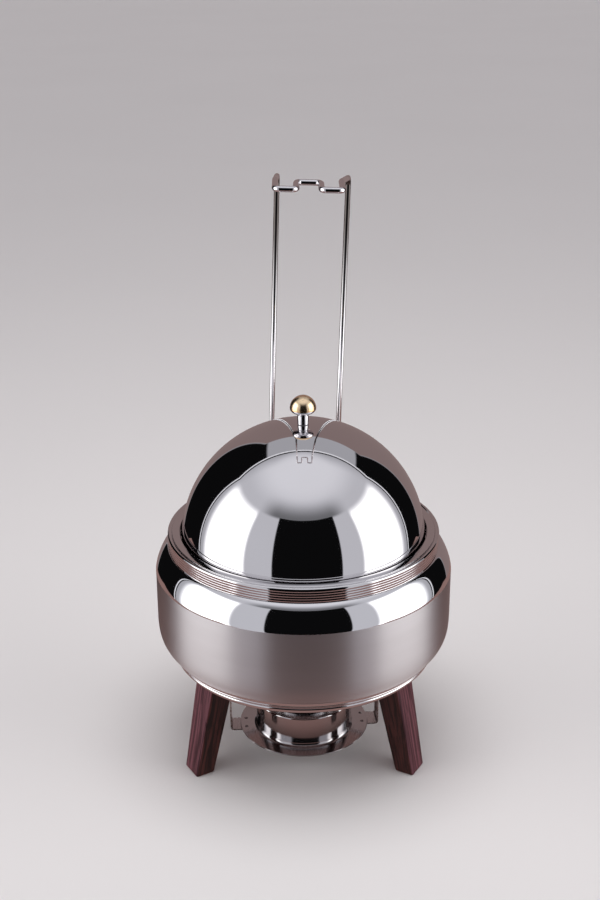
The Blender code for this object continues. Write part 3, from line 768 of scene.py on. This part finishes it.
def build_hanger():
    """The bent wire: uprights, arms and the notched fork, leaning a little in its sleeves."""
    low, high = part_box("hanger_sleeve_right")
    spacing = (low.x + high.x) / 2
    base = Vector((0, (low.y + high.y) / 2, (low.z + high.z) / 2))
    setback = base.y - AXIS.y
    lean = math.radians(1.8)
    wire_radius = 3.25 * MM
    fork_offset = -7.8 * MM
    fork_side = fork_offset - 35 * MM
    notch_side = fork_offset - 13 * MM
    arm = 20 * MM - setback
    fork_front = -28 * MM - setback
    notch_back = 10.2 * MM - setback
    fork = 671.5 * MM - base.z
    root = fork - 24.5 * MM
    lower_end = low.z + 6 * MM - base.z
    left_upright = [(-spacing, 0, lower_end), (-spacing, 0, root)]
    left_fork = [(fork_side, arm, fork), (fork_side, fork_front, fork),
                 (notch_side, fork_front, fork), (notch_side, notch_back, fork)]
    right_fork = [(2 * fork_offset - x, y, z) for x, y, z in reversed(left_fork)]
    right_upright = [(-x, y, z) for x, y, z in reversed(left_upright)]
    root_bend, arm_bend, fork_bend = 12 * MM, 30 * MM, 6 * MM
    bends = [root_bend, arm_bend, fork_bend, fork_bend, fork_bend]
    tilt = Matrix.Translation(base) @ Matrix.Rotation(lean, 4, "Y")
    corners = left_upright + left_fork + right_fork + right_upright
    path = [tilt @ point for point in rounded_path(corners, bends + bends[::-1])]
    tube("hanger_wire_bent", path, wire_radius, plated_wire("hanger_wire_plating", True), "hanger",
         ["hanger_wire"])


def build_sleeves():
    """The two blind sleeves on the drum's back."""
    bore = 4.5 * MM
    floor = 3 * MM
    edge = 1 * MM
    for side in ("left", "right"):
        node = "hanger_sleeve_" + side
        low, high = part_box(node)
        centre = Vector(((low.x + high.x) / 2, (low.y + high.y) / 2, 0))
        radius = reach(node)
        profile = [(0, low.z + floor), (bore, low.z + floor), (bore, high.z - 0.4 * MM)]
        profile += arc(radius - edge, high.z - edge, edge, edge, 90, 0, 5)
        profile += arc(radius - edge, low.z + edge, edge, edge, 0, -90, 5)
        profile.append((0, low.z))
        turned(node + "_tube", profile, plated_wire(node + "_plating"), "base",
               [node], centre, 64)


def finish_small_parts():
    """Straps and fasteners keep their CAD shapes and get a worked steel."""
    steel = plain_steel("fastener_steel")
    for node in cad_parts.values():
        if not node.hide_render:
            node.data.materials.clear()
            node.data.materials.append(steel)


# ----------------------------------------------------------------------- stage

def build_floor():
    """A plain pale floor, seen by the camera and not mirrored."""
    bpy.ops.mesh.primitive_plane_add(size=60, location=(0, 0, 0))
    floor = bpy.context.object
    floor.name = "studio_floor"
    material, graph, shader, place = new_material("pale_floor")
    cloud = graph.noise(place, 1.2, 2.0)
    graph.feed(shader.inputs["Base Color"], graph.mix_colour(cloud, FLOOR_PALE, FLOOR_DIM))
    shader.inputs["Roughness"].default_value = 0.6
    shader.inputs["Specular IOR Level"].default_value = 0.2
    floor.data.materials.append(material)
    floor.visible_glossy = False
    floor.visible_shadow = False


def build_table():
    """The table that the steel mirrors; the camera doesn't see it."""
    bpy.ops.mesh.primitive_plane_add(size=1, location=(0, 0, -1 * MM))
    table = bpy.context.object
    table.name = "mirrored_table"
    table.scale = (1.9, 1.10, 1)
    table.visible_camera = False
    table.visible_diffuse = False
    table.visible_shadow = False
    table.data.materials.append(table_glow("table_tone", TABLE_TONE))


def table_glow(name, colour):
    """The table as the steel mirrors it: an even tone, in shadow under the drum."""
    material = bpy.data.materials.new(name)
    material.use_nodes = True
    graph = Graph(material.node_tree)
    place = graph.add("ShaderNodeNewGeometry").outputs["Position"]
    distance = around_axis(graph, place)[1]
    under_drum = 0.12
    shade = graph.mix(graph.step(distance, 85 * MM, 170 * MM), under_drum, 1.0)
    light = graph.add("ShaderNodeEmission")
    light.inputs["Color"].default_value = (*colour, 1)
    graph.join(shade, light.inputs["Strength"])
    output = graph.add("ShaderNodeOutputMaterial")
    graph.join(light.outputs[0], output.inputs[0])
    return material


def build_lamp():
    """A wide soft light overhead, which lights the floor and the wood and isn't mirrored."""
    lamp_data = bpy.data.lights.new("overhead_softbox", "AREA")
    lamp_data.shape = "DISK"
    lamp_data.size = 1.6
    lamp_data.energy = 20
    lamp = bpy.data.objects.new("overhead_softbox", lamp_data)
    bpy.context.scene.collection.objects.link(lamp)
    lamp.location = (0, -0.2, 2.2)
    lamp.visible_glossy = False


# How bright each part of the light tent is
NEAR_BLACK = 0.004
FABRIC_SIDE = 0.62
FABRIC_TOP = 0.82
FABRIC_OVER_GAP = 0.18
FABRIC_BACK = 0.40
SIDE_LIGHT = 2.2
HEM_DARK = 0.03
HEM_BRIGHT = 0.9
CEILING = 0.44


def tent_fabric(graph, aside, back, front, up):
    """Fabric: brightest overhead, dimmer above the front gap and towards the back."""
    fabric = graph.mix(graph.step(up, 0.72, 0.96), FABRIC_SIDE, FABRIC_TOP)
    over_gap = graph.both(graph.less(aside, 1.05, front, 0.25), graph.step(up, 0.62, 0.66),
                          graph.step(up, 0.88, 0.66))
    fabric = graph.mix(over_gap, fabric, FABRIC_OVER_GAP)
    at_back = graph.both(graph.step(back, 0.10, 0.42), graph.step(up, 0.99, 0.90))
    return graph.mix(at_back, fabric, FABRIC_BACK)


def tent_walls(graph, left, right, back, front, up):
    """The fabric with a soft light in each side wall and a dark gap in front."""
    aside = graph.math("ABSOLUTE", right)
    side_light = graph.both(graph.less(front, 0.67, aside, 0.05), graph.step(up, 0.665, 0.53),
                            graph.less(back, 0.19, aside, 0.09))
    gap = graph.both(graph.less(left, 0.55, front, 0.012), graph.less(right, 0.69, front, 0.012),
                     graph.step(up, 0.655, 0.645))
    tent = graph.mix(side_light, tent_fabric(graph, aside, back, front, up), SIDE_LIGHT)
    return graph.mix(gap, tent, NEAR_BLACK)


def tent_hem(graph, tent, depth):
    """A dark and then a bright line along the edge of the open back."""
    dark = graph.both(graph.step(depth, -0.125, -0.115), graph.step(depth, -0.055, -0.065))
    tent = graph.mix(dark, tent, HEM_DARK)
    return graph.mix(graph.step(depth, -0.06, -0.05), tent, HEM_BRIGHT)


def build_world():
    """A light tent with an open back, mirrored by the steel; the camera sees a plain pale wall.

    Its parts are masks on the direction's components: right, back and up.
    """
    world = bpy.data.worlds.new("light_tent")
    bpy.context.scene.world = world
    world.use_nodes = True
    graph = Graph(world.node_tree)
    right, back, up = graph.parts(graph.add("ShaderNodeTexCoord").outputs["Generated"])
    left = graph.math("MULTIPLY", right, -1.0)
    front = graph.math("MULTIPLY", back, -1.0)
    aside = graph.math("ABSOLUTE", right)

    # How far a direction is inside the open back, from its top edge and its side edges
    from_top = graph.math("SUBTRACT", graph.math("MULTIPLY", back, 2.235), up)
    from_side = graph.math("SUBTRACT", graph.math("MULTIPLY", back, 2.6), aside)
    depth = graph.math("MINIMUM", from_top, from_side)
    opening = graph.step(depth, -0.01, 0.01)
    tent = tent_hem(graph, tent_walls(graph, left, right, back, front, up), depth)

    # The room behind: a lit patch of ceiling, then a backdrop between two dark sides
    ceiling = graph.both(graph.less(left, 0.487, up, 0.02), graph.less(right, 0.82, up, 0.02))
    low = graph.less(up, 1.02, back, 0.012)
    backdrop = graph.both(opening, low, graph.less(left, 0.53, back, 0.02),
                          graph.less(right, 0.95, back, 0.02))
    room = graph.mix(low, graph.mix(ceiling, NEAR_BLACK, CEILING), NEAR_BLACK)
    level = graph.mix(backdrop, graph.mix(opening, tent, room), 1.0)

    white = graph.step(level, 0.5, 1.6)
    neutral = graph.mix_colour(white, TENT_TINT, LAMP_WHITE)
    background = graph.add("ShaderNodeBackground")
    graph.join(graph.mix_colour(backdrop, neutral, BACKDROP_TONE), background.inputs["Color"])
    graph.join(level, background.inputs["Strength"])

    wall = graph.add("ShaderNodeBackground")
    wall.inputs["Color"].default_value = WALL_TONE
    seen = graph.add("ShaderNodeMixShader")
    graph.join(graph.add("ShaderNodeLightPath").outputs["Is Camera Ray"], seen.inputs[0])
    graph.join(background.outputs[0], seen.inputs[1])
    graph.join(wall.outputs[0], seen.inputs[2])
    output = graph.add("ShaderNodeOutputWorld")
    graph.join(seen.outputs[0], output.inputs[0])


def build_camera():
    """A 55 mm lens in front of the drum, looking down at it."""
    camera_data = bpy.data.cameras.new("camera")
    camera_data.lens = 54.985
    camera_data.sensor_width = 36
    camera = bpy.data.objects.new("camera", camera_data)
    bpy.context.scene.collection.objects.link(camera)
    stand = AXIS + Vector((-13.2 * MM, -1428.1 * MM, 950.2 * MM))
    turn = Matrix.Rotation(math.radians(-0.389), 4, "Z")
    tilt = Matrix.Rotation(math.radians(68.02), 4, "X")
    roll = Matrix.Rotation(math.radians(-0.221), 4, "Z")
    camera.matrix_world = Matrix.Translation(stand) @ turn @ tilt @ roll
    bpy.context.scene.camera = camera


build_lid()
build_knob()
build_drum()
build_collar()
build_base_ring()
build_base_plate()
build_pans()
build_holder()
build_can()
build_gel()
build_legs()
build_hanger()
build_sleeves()
finish_small_parts()
build_floor()
build_table()
build_lamp()
build_world()
build_camera()
bpy.context.scene.view_settings.view_transform = "Standard"
